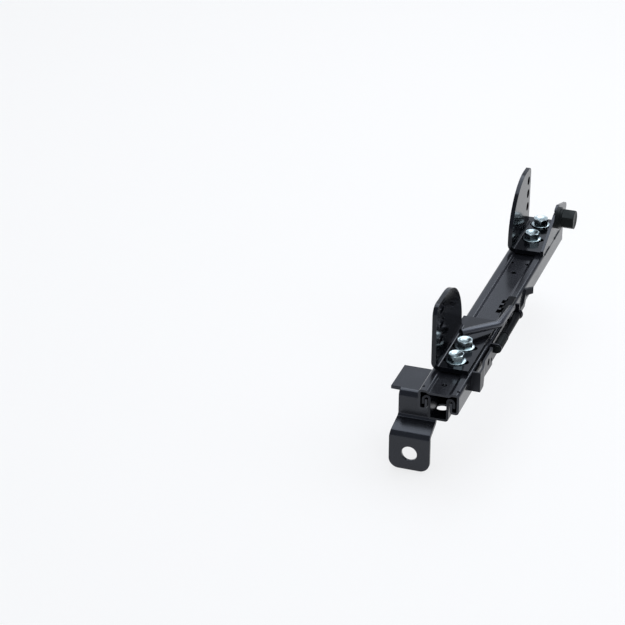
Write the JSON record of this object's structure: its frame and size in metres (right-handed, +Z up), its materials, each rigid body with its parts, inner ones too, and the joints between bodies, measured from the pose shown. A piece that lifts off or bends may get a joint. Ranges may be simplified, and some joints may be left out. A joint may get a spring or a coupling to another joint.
{
  "type": "seat slide rail",
  "caption": "Seat slide rail: ball-guided rail pair with two drilled side fins, a sprung comb lock with a bent release handle, stepped floor feet and a belt buckle bolt.",
  "frame": {"origin": "centre of the front foot's bolt hole, on the tab's front face", "axes": "+Y runs along the rail to the rear, +X to the right of the seat, +Z up"},
  "size_m": [0.092, 0.389, 0.1539],
  "materials": {
    "satin_black": "semi-gloss black paint on folded steel sheet",
    "gloss_black": "gloss black paint on thick steel plate",
    "dark_black": "black oxide on turned and forged steel",
    "zinc": "bright zinc plating",
    "steel": "plain steel",
    "spring_steel": "blued and oiled spring steel"
  },
  "bodies": {
    "base": {"lower_rail": "satin_black", "front_foot": "satin_black", "rear_foot": "satin_black", "front_foot_rivets": "dark_black", "rear_foot_rivets": "dark_black", "stop_pins": "dark_black"},
    "carriage": {"upper_rail": "satin_black", "stop_bracket": "steel", "front_bracket": "gloss_black", "rear_bracket": "gloss_black", "front_bracket_bolts": "zinc", "rear_bracket_bolts": "zinc", "front_weld_nuts": "steel", "rear_weld_nuts": "steel", "latch_bracket": "satin_black", "pivot_pin": "dark_black", "pivot_clip": "spring_steel", "return_spring": "dark_black", "buckle_tab": "satin_black", "buckle_bolt": "dark_black", "buckle_washer": "dark_black", "buckle_boss": "dark_black"},
    "left_cage": {"left_ball_cage": "spring_steel", "left_balls": "steel"},
    "right_cage": {"right_ball_cage": "spring_steel", "right_balls": "steel"},
    "lever": {"lock_pawl": "satin_black", "release_handle": "satin_black"}
  },
  "joints": [
    {"name": "rail_slide", "type": "slide", "parent": "base", "child": "carriage", "axis": [0, 1, 0], "range_m": [-0.09, 0.09]},
    {"name": "left_cage_roll", "type": "slide", "parent": "base", "child": "left_cage", "axis": [0, 1, 0], "range_m": [-0.045, 0.045]},
    {"name": "right_cage_roll", "type": "slide", "parent": "base", "child": "right_cage", "axis": [0, 1, 0], "range_m": [-0.045, 0.045]},
    {"name": "lever_pivot", "type": "hinge", "parent": "carriage", "child": "lever", "pos_m": [0.054, 0.1375, 0.0727], "axis": [0, 1, 0], "range_deg": [-6.5, 10], "stiffness_Nm_per_rad": 0.8, "deforming": ["return_spring"]}
  ],
  "couplings": [
    {"joint": "left_cage_roll", "follows": "rail_slide", "ratio": 0.5},
    {"joint": "right_cage_roll", "follows": "rail_slide", "ratio": 0.5}
  ]
}
